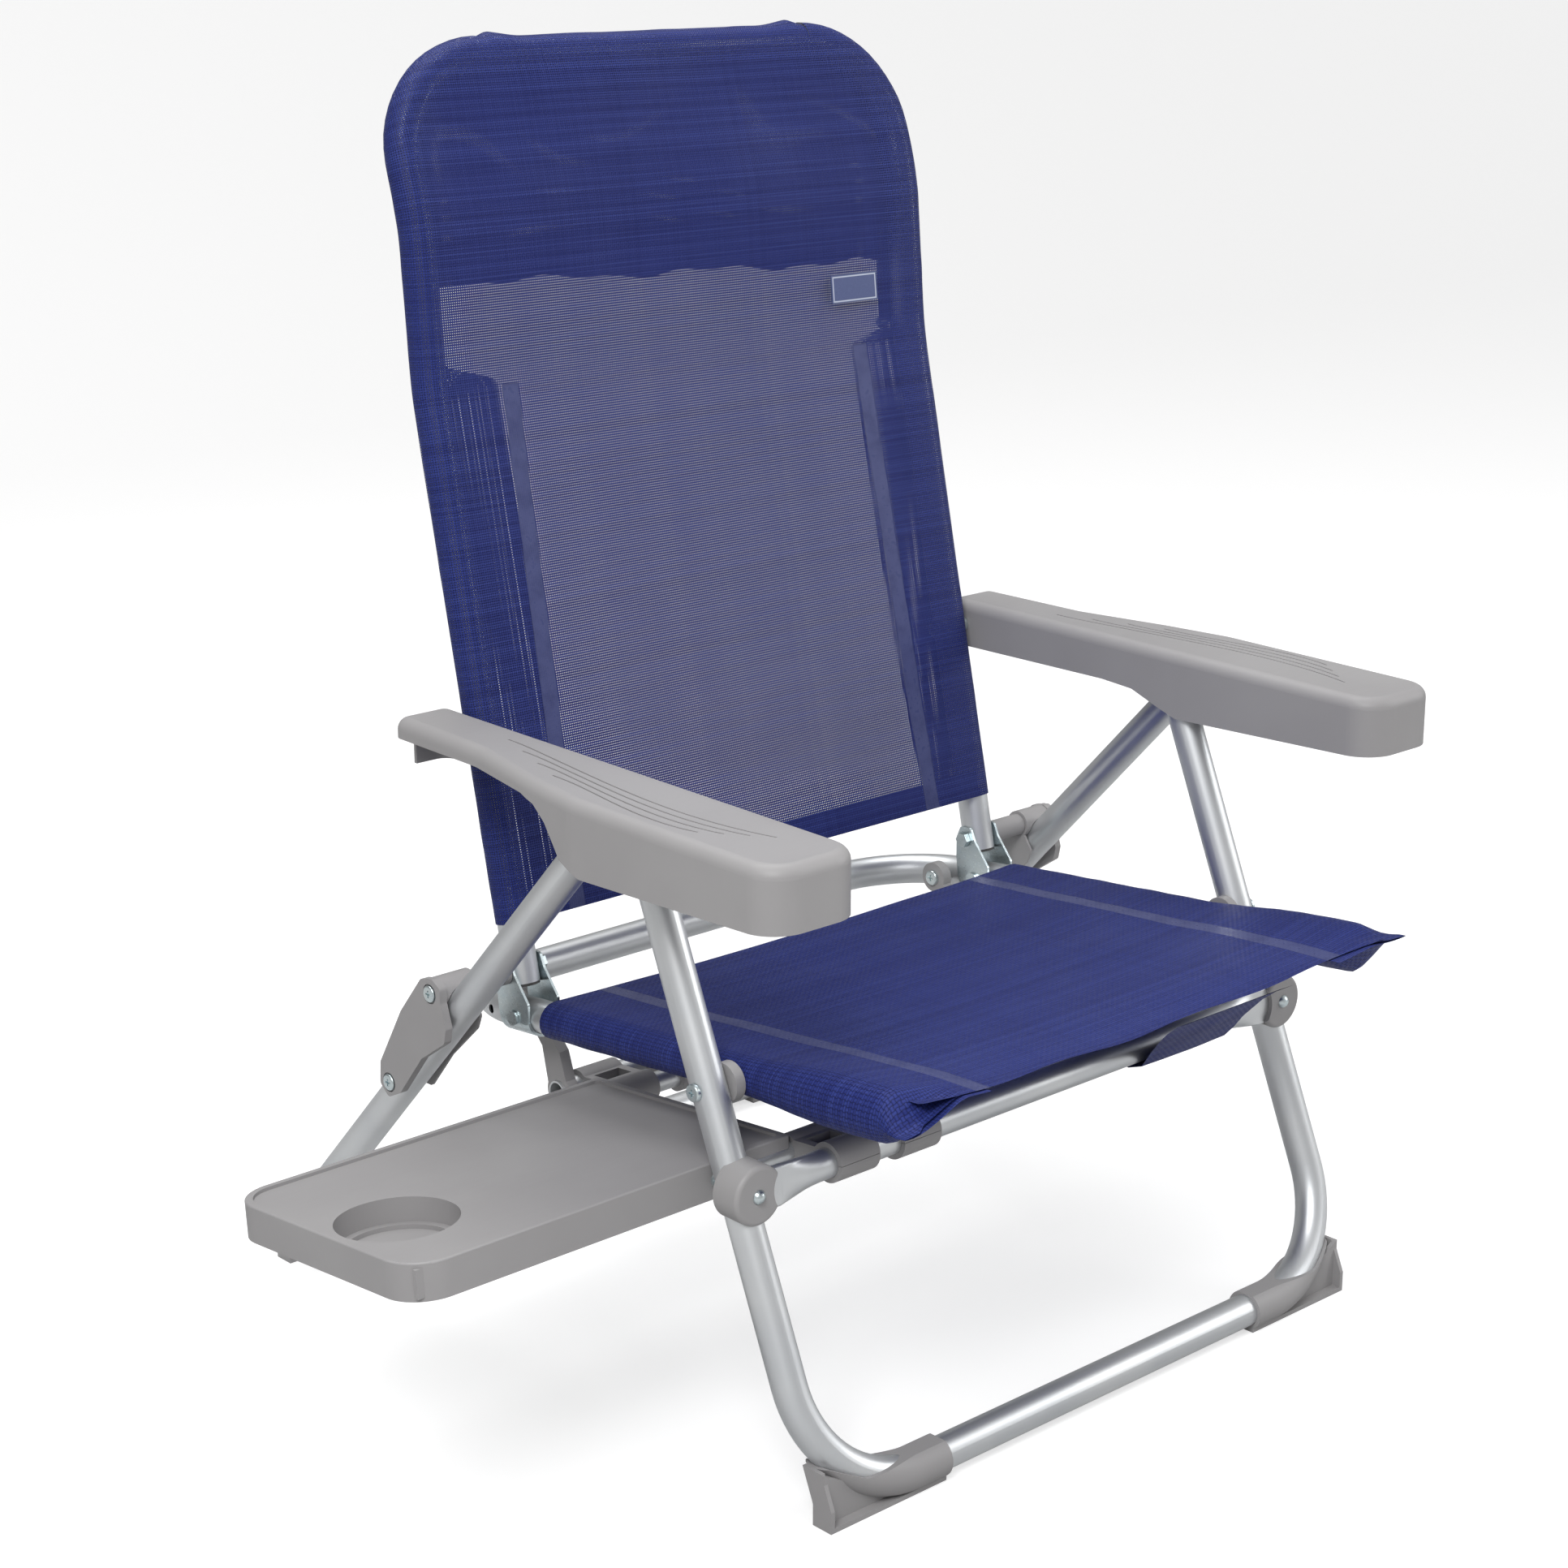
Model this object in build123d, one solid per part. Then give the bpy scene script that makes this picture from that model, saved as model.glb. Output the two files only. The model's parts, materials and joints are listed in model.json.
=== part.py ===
from build123d import *
import os
from math import atan2, cos, hypot, sin, sqrt

# Folding beach chair with a sliding side table. Millimetres, +Z up, floor at Z = 0.
# The sitter faces -Y; +X is the sitter's left; the table is on the sitter's right (-X).

# ---- overall sizes ----
FRONT_LEG_X = 244          # centre plane of each front leg
REAR_LEG_X = 269           # centre plane of each rear leg
RAIL_X = 213               # centre plane of the seat rails and the back tubes
TUBE_R = 11                # outside radius of the frame tubes
TUBE_WALL = 1.3
FOOT_BAR_Z = 14            # height of both foot bars' centre lines
LEG_BEND_R = 75            # corner radius of the leg frames
RUN_GAP = 0.08             # radial clearance of a turning or sliding fit
SKIN_GAP = 0.3             # clearance of cloth and neighbouring faces
CLOTH = 1.3                # thickness of the woven cloth

# ---- side view points, (Y, Z) ----
SEAT_PIVOT = (-228, 252)   # front leg to seat rail
LEG_PIVOT = (-164, 405.5)  # tops of the front and rear legs, inside the armrest
FRONT_FOOT = (-327, FOOT_BAR_Z)
REAR_FOOT = (203, FOOT_BAR_Z)
BACK_HINGE = (-8, 262)     # back tube to seat bracket
LINK_FOOT = (39.9, 188)    # fold link to rear leg
ARM_HINGE = (27, 414)      # armrest to back tube
CROSSBAR = (-262, 196)     # front cross tube, which the side table slides along

# ---- seat ----
RAIL_FRONT_Y = -352         # front end of the seat's tube
SEAT_FRONT_Y = -372
SEAT_BACK_Y = 70
SEAT_RISE = 0.0896         # rise of the seat towards its front, per millimetre
SEAT_BEND_R = 70
SEAT_CLOTH_BACK = 42       # distance of the seat cloth's rear edge ahead of Y = 0

# ---- back ----
BACK_POINTS = [(-10, 253), (71, 628), (80, 735), (110, 831)]
BACK_BEND_R = 180
BACK_TOP_R = 72
BACK_CLOTH_Z = 292
POCKET_Z = 692             # lower edge of the doubled headrest cloth

# ---- fasteners ----
SCREW_R = 3
PIVOT_PIN_R = 4
HEAD_R = 5.6
HEAD_H = 2.6

# ---- side table ----
CROSSBAR_R = 9.5
REAR_BAR_R = 8
ROD_R = 7
ROD_OFFSET = 36            # tray rod behind the crossbar, and ahead of the rear bar
TRAY_IN_X = -181
TRAY_OUT_X = -465
TRAY_FRONT = 30            # tray edge behind the crossbar
TRAY_WIDTH = 186
TRAY_TOP = 12              # tray rim above the crossbar's centre
TRAY_HEIGHT = 23
TRAY_WALL = 2.6
TRAY_LIP = 5
TRAY_RECESS = 2
TRAY_CORNER_R = 26
CUP_X = -419
CUP_U = 78
CUP_R = 37
CLIP_OUTER_X = (-179.5, -147)
CLIP_INNER_X = (-126, -94)
CLIP_WALL = 3.4

# ---- armrests ----
ARM_IN_X = 229.2
ARM_OUT_X = 300
ARM_FRONT_Y = -346
ARM_BACK_Y = 42
ARM_WALL = 2.6
ARM_ROUND = 8              # rounding of the armrest's top edge
ARM_TOP_BACK = 432
ARM_TOP_FRONT = 426

# ---- origin: on the floor, under the middle of the whole chair with its table out ----
ORIGIN = ((ARM_OUT_X + TRAY_OUT_X) / 2, (SEAT_FRONT_Y - 3 + REAR_FOOT[0] + 14) / 2, 0)

SIDES = ((1, "left"), (-1, "right"))
os.makedirs("parts", exist_ok=True)


# ---------------------------------------------------------------- helpers
def save(shape, name):
    """Write one piece, moved so that the chair's origin is the file's."""
    placed = shape.moved(Location((-ORIGIN[0], -ORIGIN[1], -ORIGIN[2])))
    placed.label = name
    export_step(placed, "parts/" + name + ".step")


def rail_z(y):
    """Height of the seat rail's centre line at Y."""
    return SEAT_PIVOT[1] - SEAT_RISE * (y - SEAT_PIVOT[0])


def along(a, b, distance):
    """The point at a distance from a towards b, in the side view."""
    length = hypot(b[0] - a[0], b[1] - a[1])
    return (a[0] + (b[0] - a[0]) * distance / length, a[1] + (b[1] - a[1]) * distance / length)


def cyl_x(x0, x1, r, yz):
    """Cylinder along X between two planes, about a side view point."""
    low, high = min(x0, x1), max(x0, x1)
    return extrude(Plane.YZ.offset(low) * (Pos(yz[0], yz[1]) * Circle(r)), high - low)


def plate_x(x0, x1, face):
    """A side view face made into a plate between two X planes."""
    low, high = min(x0, x1), max(x0, x1)
    return extrude(Plane.YZ.offset(low) * face, high - low)


def bent_tube(points, r, wall, bend):
    """Hollow tube along a polyline whose corners are rounded."""
    path = FilletPolyline(*points, radius=bend) if len(points) > 2 else Line(*points)
    start = Plane(origin=path @ 0, z_dir=path % 0)
    ring = Circle(r) - Circle(r - wall)
    return sweep(start * ring, path=path)


def bent_rod(points, r, bend):
    """Solid round along a polyline whose corners are rounded."""
    path = FilletPolyline(*points, radius=bend) if len(points) > 2 else Line(*points)
    return sweep(Plane(origin=path @ 0, z_dir=path % 0) * Circle(r), path=path)


def pan_screw(x_head, x_end, yz, r=SCREW_R, head_r=HEAD_R):
    """Pan head screw along X, its head standing outside x_head, away from x_end."""
    way = 1 if x_head > x_end else -1
    body = cyl_x(x_head, x_end, r, yz) + cyl_x(x_head, x_head + way * HEAD_H, head_r, yz)
    rim = body.faces().sort_by(Axis.X)[-1 if way > 0 else 0].edges()
    body = fillet(rim, HEAD_H * 0.45)
    tip = x_head + way * HEAD_H
    slot = plate_x(tip - way * 1.2, tip + way, Pos(*yz) * (Rectangle(5, 1.1) + Rectangle(1.1, 5)))
    return body - slot


def both(shape):
    """The shape and its mirror image across the chair's middle plane."""
    return Compound([shape, mirror(shape, Plane.YZ)])


def on_side(shape, side):
    return shape if side > 0 else mirror(shape, Plane.YZ)


def leg_top(foot):
    """End of a leg tube, a little above the leg pivot."""
    length = hypot(foot[0] - LEG_PIVOT[0], foot[1] - LEG_PIVOT[1])
    return along(foot, LEG_PIVOT, length + 6)


def leg_frame(x, foot):
    top = leg_top(foot)
    points = [(x, *top), (x, *foot), (-x, *foot), (-x, *top)]
    return bent_tube(points, TUBE_R, TUBE_WALL, LEG_BEND_R)


def leg_solid(x, foot, grow):
    """The leg frame's outside as a solid, larger by a clearance, for cutting."""
    top = leg_top(foot)
    points = [(x, *top), (x, *foot), (-x, *foot), (-x, *top)]
    return bent_rod(points, TUBE_R + grow, LEG_BEND_R)


def foot_cap(x, foot, cutter):
    """Plastic skid under a leg frame's corner: cradle, floor, end wall and an open pocket."""
    length, height, half, thin, wall = 97, 36, 13.6, 8, 3
    end_x, in_x = x, x - length
    top = leg_top(foot)
    shift = (top[0] - foot[0]) / (top[1] - foot[1]) * (height - FOOT_BAR_Z)
    cradle = bent_rod([(x, *along(foot, top, 100)), (x, *foot), (in_x - 100, *foot)], half, LEG_BEND_R)
    keep = Polyline((in_x, 0), (end_x, 0), (end_x, height), (end_x - 7, height), (end_x - 30, 26),
                    (in_x, 26), close=True)
    keep = extrude(Plane.XZ.offset(-foot[0] - 40) * make_face(keep), 80)
    floor = Pos((in_x + end_x) / 2, foot[0], wall / 2) * Box(length, 2 * thin, wall)
    fin_face = Polyline((foot[0] - thin, 0), (foot[0] + thin, 0), (foot[0] + thin, FOOT_BAR_Z),
                        (foot[0] + shift + thin, height), (foot[0] + shift - thin, height),
                        (foot[0] - thin, FOOT_BAR_Z), close=True)
    fin = plate_x(end_x - wall, end_x, make_face(fin_face))
    web_face = Polyline((end_x, 0), (end_x, height), (end_x - 26, 22), (end_x - 46, 8), (end_x - 56, 0), close=True)
    web = extrude(Plane.XZ.offset(-foot[0] - 1.5) * make_face(web_face), 3)
    cap = (cradle & keep) + floor + fin + web
    return cap - cutter


# ---------------------------------------------------------------- front leg frame
def make_front_frame():
    x = FRONT_LEG_X
    tube = leg_frame(x, FRONT_FOOT)
    for side in (1, -1):
        at = side * x
        tube -= cyl_x(at - 15, at + 15, PIVOT_PIN_R + RUN_GAP, LEG_PIVOT)
        tube -= cyl_x(at - 15, at + 15, SCREW_R + RUN_GAP, SEAT_PIVOT)
    cutter = leg_solid(x, FRONT_FOOT, 0.05)
    tube -= both(rivet_shape(0.05))
    save(tube, "front_leg_tube")
    cap = foot_cap(x, FRONT_FOOT, cutter)
    for side, name in SIDES:
        save(on_side(cap, side), "front_foot_cap_" + name)
        save(on_side(crossbar_saddle(cutter), side), "crossbar_saddle_" + name)
        pin = cyl_x(ARM_IN_X + ARM_WALL + 0.6, 287, PIVOT_PIN_R, LEG_PIVOT)
        pin += cyl_x(REAR_LEG_X + TUBE_R + 0.5, 287, PIVOT_PIN_R + 2.5, LEG_PIVOT)
        save(on_side(pin, side), "leg_pivot_pin_" + name)
    save(crossbar(cutter), "front_crossbar")
    save(both(rivet_shape(0)), "crossbar_rivets")
    screw = pan_screw(FRONT_LEG_X + TUBE_R + 0.2, RAIL_X - TUBE_R - 1, SEAT_PIVOT)
    nut = cyl_x(RAIL_X - TUBE_R - 0.4, RAIL_X - TUBE_R - 4, 5, SEAT_PIVOT)
    save(both(screw + nut), "seat_pivot_screws")
    save(both(leg_plug(FRONT_LEG_X, FRONT_FOOT)), "front_leg_plugs")


def front_leg_y(z):
    share = (z - FRONT_FOOT[1]) / (LEG_PIVOT[1] - FRONT_FOOT[1])
    return FRONT_FOOT[0] + share * (LEG_PIVOT[0] - FRONT_FOOT[0])


def leg_plug(x, foot):
    """Domed plastic plug in a leg tube's top end."""
    top = leg_top(foot)
    way = (0, top[0] - foot[0], top[1] - foot[1])
    plane = Plane(origin=(x, *top), z_dir=way)
    return extrude(plane * Circle(TUBE_R - 0.4), 2)


def crossbar(leg_cutter):
    """Cross tube whose ends are pressed flat and run across the front of the legs."""
    x_round = FRONT_LEG_X - 54
    x_flat = FRONT_LEG_X - 21
    y_flat = crossbar_face_y() - 3.2
    half = CROSSBAR_R
    middle = cyl_x(-x_round, x_round, half, CROSSBAR)
    middle -= cyl_x(-x_round - 1, x_round + 1, half - 1.2, CROSSBAR)
    round_end = Plane.YZ.offset(x_round) * (Pos(*CROSSBAR) * Circle(half))
    flat_face = Pos(y_flat, CROSSBAR[1]) * RectangleRounded(5, 27, 2.2)
    flat_end = Plane.YZ.offset(x_flat) * flat_face
    flare = loft([round_end, flat_end])
    tip = extrude(Plane.YZ.offset(x_flat) * flat_face, 30)
    tip &= plate_x(0, 400, Pos(y_flat, CROSSBAR[1]) * Rectangle(30, 27)) & Pos(FRONT_LEG_X - 6, y_flat, CROSSBAR[1]) * Rot(
        90, 0, 0) * Cylinder(15, 40)
    end = flare + extrude(Plane.YZ.offset(x_flat) * flat_face, 15) + tip
    end -= rivet_shape(0.05) + leg_cutter
    return middle + end + mirror(end, Plane.YZ)


def crossbar_face_y():
    """Y of the leg tube's foremost line at the crossbar's height."""
    lean = atan2(LEG_PIVOT[0] - FRONT_FOOT[0], LEG_PIVOT[1] - FRONT_FOOT[1])
    return front_leg_y(CROSSBAR[1]) - TUBE_R / cos(lean)


def rivet_shape(grow):
    """Rivet along Y through the saddle, the crossbar's end and the leg."""
    x = FRONT_LEG_X
    front = crossbar_face_y() - 9.2
    back = front_leg_y(CROSSBAR[1]) + TUBE_R + 3.5
    plane = Plane(origin=(x, front, CROSSBAR[1]), z_dir=(0, 1, 0))
    shank = extrude(plane * Circle(SCREW_R + grow), back - front)
    head = Pos(x, front + 1.6, CROSSBAR[1]) * Sphere(4.8 + grow)
    tail = Pos(x, back + 0.9, CROSSBAR[1]) * Rot(90, 0, 0) * Cylinder(5 + grow, 1.8)
    return shank + head + tail


def crossbar_saddle(leg_cutter):
    """Round plastic saddle between the leg and the crossbar's flat end, with a raised rim."""
    x, z = FRONT_LEG_X, CROSSBAR[1]
    front = crossbar_face_y() - 9
    back = front_leg_y(z)
    depth = back - front
    body = Pos(x - 1, (front + back) / 2, z) * Rot(90, 0, 0) * Cylinder(19, depth)
    body = fillet(body.edges().group_by(Axis.Y)[0], 3)
    bite = Pos(x - 31, (front + back) / 2, z) * Rot(90, 0, 0) * Cylinder(19, depth + 2)
    body -= bite
    y_flat = crossbar_face_y() - 3.2
    slot = plate_x(x - 40, x - 6, Pos(y_flat, z) * Rectangle(5.3, 27.4))
    slot += Pos(x - 6, y_flat, z) * Rot(90, 0, 0) * Cylinder(15.2, 5.3)
    flare = loft([Plane.YZ.offset(x - 54) * (Pos(*CROSSBAR) * Circle(CROSSBAR_R + 0.2)),
                  Plane.YZ.offset(x - 21) * (Pos(y_flat, z) * RectangleRounded(5.4, 27.4, 2.2))])
    return body - slot - flare - leg_cutter - rivet_shape(0.05)


def crossbar_sling():
    """Cloth loop around the crossbar under the seat's front edge."""
    outer = cyl_x(48, 150, CROSSBAR_R + 0.2 + CLOTH, CROSSBAR)
    tail = Polyline((CROSSBAR[0] - 6, CROSSBAR[1] + 4), (CROSSBAR[0] - 26, CROSSBAR[1] + 34),
                    (CROSSBAR[0] - 24.6, CROSSBAR[1] + 35), (CROSSBAR[0] - 3, CROSSBAR[1] + 6), close=True)
    tail = plate_x(48, 150, make_face(tail))
    return outer + tail - cyl_x(40, 160, CROSSBAR_R + 0.15, CROSSBAR)


# ---------------------------------------------------------------- rear leg frame and fold links
def make_rear_frame():
    x = REAR_LEG_X
    tube = leg_frame(x, REAR_FOOT)
    for side in (1, -1):
        at = side * x
        tube -= cyl_x(at - 15, at + 15, PIVOT_PIN_R + RUN_GAP, LEG_PIVOT)
        tube -= cyl_x(at - 15, at + 15, SCREW_R + 0.05, LINK_FOOT)
    save(tube, "rear_leg_tube")
    cutter = leg_solid(x, REAR_FOOT, 0.05)
    cap = foot_cap(x, REAR_FOOT, cutter)
    for side, name in SIDES:
        save(on_side(cap, side), "rear_foot_cap_" + name)
        save(on_side(fold_link(), side), "fold_link_" + name)
    save(both(leg_plug(x, REAR_FOOT)), "rear_leg_plugs")
    screw = pan_screw(LINK_OUT_X - 1.4, REAR_LEG_X - TUBE_R - 2.4, LINK_FOOT)
    save(both(screw), "link_foot_screws")
    for side, name in SIDES:
        top = pan_screw(LINK_OUT_X - 1.4, LINK_OUT_X - 16, BACK_HINGE)
        save(on_side(top, side), "link_top_screw_" + name)


LINK_OUT_X = REAR_LEG_X + TUBE_R + 6.5
LINK_IN_X = FRONT_LEG_X + TUBE_R + 0.7


def fold_link():
    """Plastic channel that straddles the rear leg: big outer cheek, back web and a thin inner cheek."""
    h, f = BACK_HINGE, LINK_FOOT
    cheek = Polyline((h[0] - 3, h[1] + 10.6), (h[0] + 9, h[1] + 8), (h[0] + 32, h[1] - 20), (f[0] + 9, f[1] + 12),
                     (f[0] + 10, f[1] - 3), (f[0] + 1, f[1] - 10.5), (f[0] - 12, f[1] - 4), (f[0] - 37, f[1] + 27),
                     (f[0] - 62, f[1] + 44), (f[0] - 64, f[1] + 54), (h[0] - 11, h[1] - 4), (h[0] - 11, h[1] + 6),
                     close=True)
    cheek = fillet(make_face(cheek).vertices(), 3.5)
    outer = plate_x(REAR_LEG_X + TUBE_R + 0.9, LINK_OUT_X, cheek)
    inner_face = Polyline((f[0] + 7, f[1] + 7), (f[0] + 6, f[1] - 8), (f[0] - 7, f[1] - 8), (f[0] - 30, f[1] + 20),
                          (f[0] - 58, f[1] + 46), (f[0] - 62, f[1] + 56), (h[0] - 4, h[1] - 3), (h[0] + 8, h[1] + 2),
                          close=True)
    inner_face = fillet(make_face(inner_face).vertices(), 3)
    inner = plate_x(LINK_IN_X, REAR_LEG_X - TUBE_R - 0.4, inner_face)
    web_face = Polyline((h[0] + 2, h[1] + 6), (h[0] + 12, h[1] + 1), (h[0] + 33, h[1] - 26), (h[0] + 30, h[1] - 29),
                        (h[0] + 6, h[1] - 4), close=True)
    web = plate_x(LINK_IN_X, LINK_OUT_X - 1, make_face(web_face))
    boss = cyl_x(LINK_IN_X, LINK_OUT_X, 10, h)
    link = outer + inner + web + boss
    link -= leg_solid(REAR_LEG_X, REAR_FOOT, SKIN_GAP)
    recess = cyl_x(LINK_OUT_X - 1.4, LINK_OUT_X + 5, HEAD_R + 1, h) + cyl_x(LINK_OUT_X - 1.4, LINK_OUT_X + 5,
                                                                           HEAD_R + 1, f)
    link -= recess
    link -= cyl_x(LINK_OUT_X - 20, LINK_OUT_X, SCREW_R + 0.02, h)
    link -= cyl_x(LINK_IN_X - 1, LINK_OUT_X, SCREW_R + RUN_GAP, f)
    return link.solids().sort_by(SortBy.VOLUME)[-1]


# ---------------------------------------------------------------- seat
def make_seat():
    x = RAIL_X
    points = [(x, RAIL_FRONT_Y, rail_z(RAIL_FRONT_Y)), (x, SEAT_BACK_Y, rail_z(SEAT_BACK_Y)),
              (-x, SEAT_BACK_Y, rail_z(SEAT_BACK_Y)), (-x, RAIL_FRONT_Y, rail_z(RAIL_FRONT_Y))]
    tube = bent_tube(points, TUBE_R, TUBE_WALL, SEAT_BEND_R)
    hanger = hanger_pivot()
    tube -= both(cyl_x(x - 15, x + 15, SCREW_R + RUN_GAP, SEAT_PIVOT))
    tube -= both(cyl_x(x - 15, x + 15, SCREW_R, hanger))
    rivets = both(bracket_rivet())
    save(tube - rivets, "seat_frame_tube")
    save(rivets, "bracket_rivets")
    bracket = hinge_bracket() - bracket_rivet()
    for side, name in SIDES:
        save(on_side(bracket, side), "hinge_bracket_" + name)
        spacer = cyl_x(x + 13.4, FRONT_LEG_X + TUBE_R + 0.2, 8, BACK_HINGE)
        spacer -= cyl_x(x, 300, SCREW_R + 0.02, BACK_HINGE)
        save(on_side(spacer, side), "hinge_spacer_" + name)
        save(on_side(side_spacer(), side), "side_spacer_" + name)
    bolt = cyl_x(x - 17, FRONT_LEG_X + TUBE_R, SCREW_R, BACK_HINGE)
    save(both(bolt), "hinge_bolts")
    nut = plate_x(x - 17.6, x - 13.3, Pos(*BACK_HINGE) * RegularPolygon(5.6, 6)) - bolt
    save(both(nut), "hinge_nuts")
    slope = (0, RAIL_FRONT_Y - SEAT_BACK_Y, rail_z(RAIL_FRONT_Y) - rail_z(SEAT_BACK_Y))
    end = Plane(origin=(x, RAIL_FRONT_Y, rail_z(RAIL_FRONT_Y)), z_dir=slope)
    plug = extrude(end * Circle(TUBE_R), 2.5)
    plug = fillet(plug.faces().sort_by(Axis.Y)[0].edges(), 1.2)
    save(both(plug), "seat_rail_plugs")
    save(seat_cloth(), "seat_sling")


def hanger_pivot():
    return (12, rail_z(12))


def bracket_rivet():
    return cyl_x(RAIL_X - 15, RAIL_X + 15, 2.4, (-16, rail_z(-16))) + cyl_x(
        RAIL_X + 13.2, RAIL_X + 15, 5, (-16, rail_z(-16))) + cyl_x(RAIL_X - 15, RAIL_X - 13.2, 5, (-16, rail_z(-16)))


def hinge_bracket():
    """Zinc plated strap bent under the seat rail, with two ears up to the back hinge."""
    x, thick = RAIL_X, 1.8
    inside = TUBE_R + 0.25
    low = rail_z(-16)
    ear = Polyline((-31, low - 2), (-1, low - 2), (1, low + 14), (BACK_HINGE[0] + 9, BACK_HINGE[1]),
                   (BACK_HINGE[0] + 5, BACK_HINGE[1] + 9), (BACK_HINGE[0] - 5, BACK_HINGE[1] + 9),
                   (BACK_HINGE[0] - 9, BACK_HINGE[1]), (-31, low + 12), close=True)
    ear = fillet(make_face(ear).vertices(), 3)
    shape = plate_x(x + inside, x + inside + thick, ear) + plate_x(x - inside - thick, x - inside, ear)
    way = (0, 1, -SEAT_RISE)
    start = Plane(origin=(x, -31, rail_z(-31)), z_dir=way)
    strap = extrude(start * (Circle(inside + thick) - Circle(inside)), 29.5)
    below = Pos(x, -16, low - 20) * Box(40, 60, 40)
    shape += strap & below
    return shape - cyl_x(x - 20, x + 20, SCREW_R + 0.02, BACK_HINGE)


def side_spacer():
    """Grey spacer between the seat rail and the front leg."""
    x0 = RAIL_X + TUBE_R + CLOTH + 0.6
    x1 = FRONT_LEG_X - TUBE_R - 0.2
    body = cyl_x(x0, x1, 12.5, SEAT_PIVOT)
    return body - cyl_x(x0 - 1, x1 + 1, SCREW_R + RUN_GAP, SEAT_PIVOT)


def seat_cloth():
    """Seat cloth: a sleeve on each rail and the panel stretched between them."""
    y0 = -SEAT_CLOTH_BACK
    length = (y0 - SEAT_FRONT_Y + 3) * sqrt(1 + SEAT_RISE ** 2)
    start = Plane(origin=(0, y0, rail_z(y0)), x_dir=(1, 0, 0), z_dir=(0, -1, SEAT_RISE))
    up = 1 if start.y_dir.Z > 0 else -1
    inner = TUBE_R + 0.15
    outer = inner + CLOTH
    face = Rectangle(2 * RAIL_X, CLOTH).moved(Location((0, up * (outer - CLOTH / 2), 0)))
    rings = Sketch() + [Pos(side * RAIL_X, 0) * Circle(outer) for side in (1, -1)]
    holes = Sketch() + [Pos(side * RAIL_X, 0) * Circle(inner) for side in (1, -1)]
    cloth = extrude(start * (face + rings - holes), length)
    hole = both(cyl_x(RAIL_X - 20, RAIL_X + 20, SCREW_R + 3, SEAT_PIVOT))
    return cloth - hole


# ---------------------------------------------------------------- back
def make_back():
    x = RAIL_X
    path = back_path()
    tube = sweep(Plane(origin=path @ 0, z_dir=path % 0) * (Circle(TUBE_R) - Circle(TUBE_R - TUBE_WALL)), path=path)
    tube -= both(cyl_x(x - 15, x + 15, SCREW_R + RUN_GAP, BACK_HINGE))
    tube -= both(cyl_x(x - 15, x + 15, SCREW_R + 0.05, ARM_HINGE))
    save(tube, "back_frame_tube")
    end = Plane(origin=path @ 0, z_dir=(path % 0) * -1)
    plug = extrude(end * Circle(TUBE_R - 0.3), 1.8)
    save(both(plug), "back_tube_plugs")
    save(back_cloth(path), "back_sling")
    label = Pos(148, 59.9, 664) * Rot(-6, 0, 0) * Box(44, 1, 20)
    save(label, "blank_label")


def back_points(x):
    return [(x, y, z) for y, z in BACK_POINTS]


def back_path():
    """Centre line of the back tube: curved sides and a straight top bar."""
    side = FilletPolyline(*back_points(RAIL_X), radius=BACK_BEND_R)
    rising = side.edges().sort_by(Axis.Z)
    lower = list(rising)[:-1]
    bend_end = max(lower[-1] @ 0, lower[-1] @ 1, key=lambda point: point.Z)
    far_end = (-bend_end.X, bend_end.Y, bend_end.Z)
    top = BACK_POINTS[3]
    corner = FilletPolyline(bend_end, (RAIL_X, *top), (-RAIL_X, *top), far_end, radius=BACK_TOP_R)
    other = [edge.mirror(Plane.YZ) for edge in lower]
    wire = Wire([*lower, *corner.edges(), *other])
    return wire if (wire @ 0).X > 0 else Wire([*wire.edges()][::-1])


def back_cloth(path):
    """Back cloth: a sleeve around the whole tube, a front panel and a rear panel at the top."""
    inner = TUBE_R + 0.15
    outer = inner + CLOTH
    sleeve = sweep(Plane(origin=path @ 0, z_dir=path % 0) * (Circle(outer) - Circle(inner)), path=path)
    side = FilletPolyline(*back_points(0), radius=BACK_BEND_R)
    start = Plane(origin=side @ 0, x_dir=(1, 0, 0), z_dir=side % 0)
    forward = -1 if start.y_dir.Y > 0 else 1
    mid = (inner + outer) / 2
    strip = Rectangle(2 * RAIL_X, CLOTH - 0.2)
    front = sweep(start * Pos(0, forward * mid) * strip, path=side)
    rear = sweep(start * Pos(0, -forward * mid) * strip, path=side)
    tall = BACK_POINTS[3][1] + 20
    round_top = Rectangle(2 * RAIL_X + 2, 2 * tall)
    outline = extrude(Plane.XZ.offset(-400) * fillet(round_top.vertices(), BACK_TOP_R + 10), 800)
    outline = Pos(0, 0, BACK_POINTS[3][1] + 1 - tall) * outline
    cloth = (front & outline) + (rear & outline & Pos(0, 0, POCKET_Z + 150) * Box(600, 600, 300))
    cloth = (cloth + sleeve) & Pos(0, 60, BACK_CLOTH_Z + 300) * Box(600, 500, 600)
    clear_tube = sweep(Plane(origin=path @ 0, z_dir=path % 0) * Circle(inner), path=path)
    holes = both(cyl_x(RAIL_X - 20, RAIL_X + 20, SCREW_R + 4, ARM_HINGE))
    return (cloth - clear_tube - holes).solids().sort_by(SortBy.VOLUME)[-1]


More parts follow.
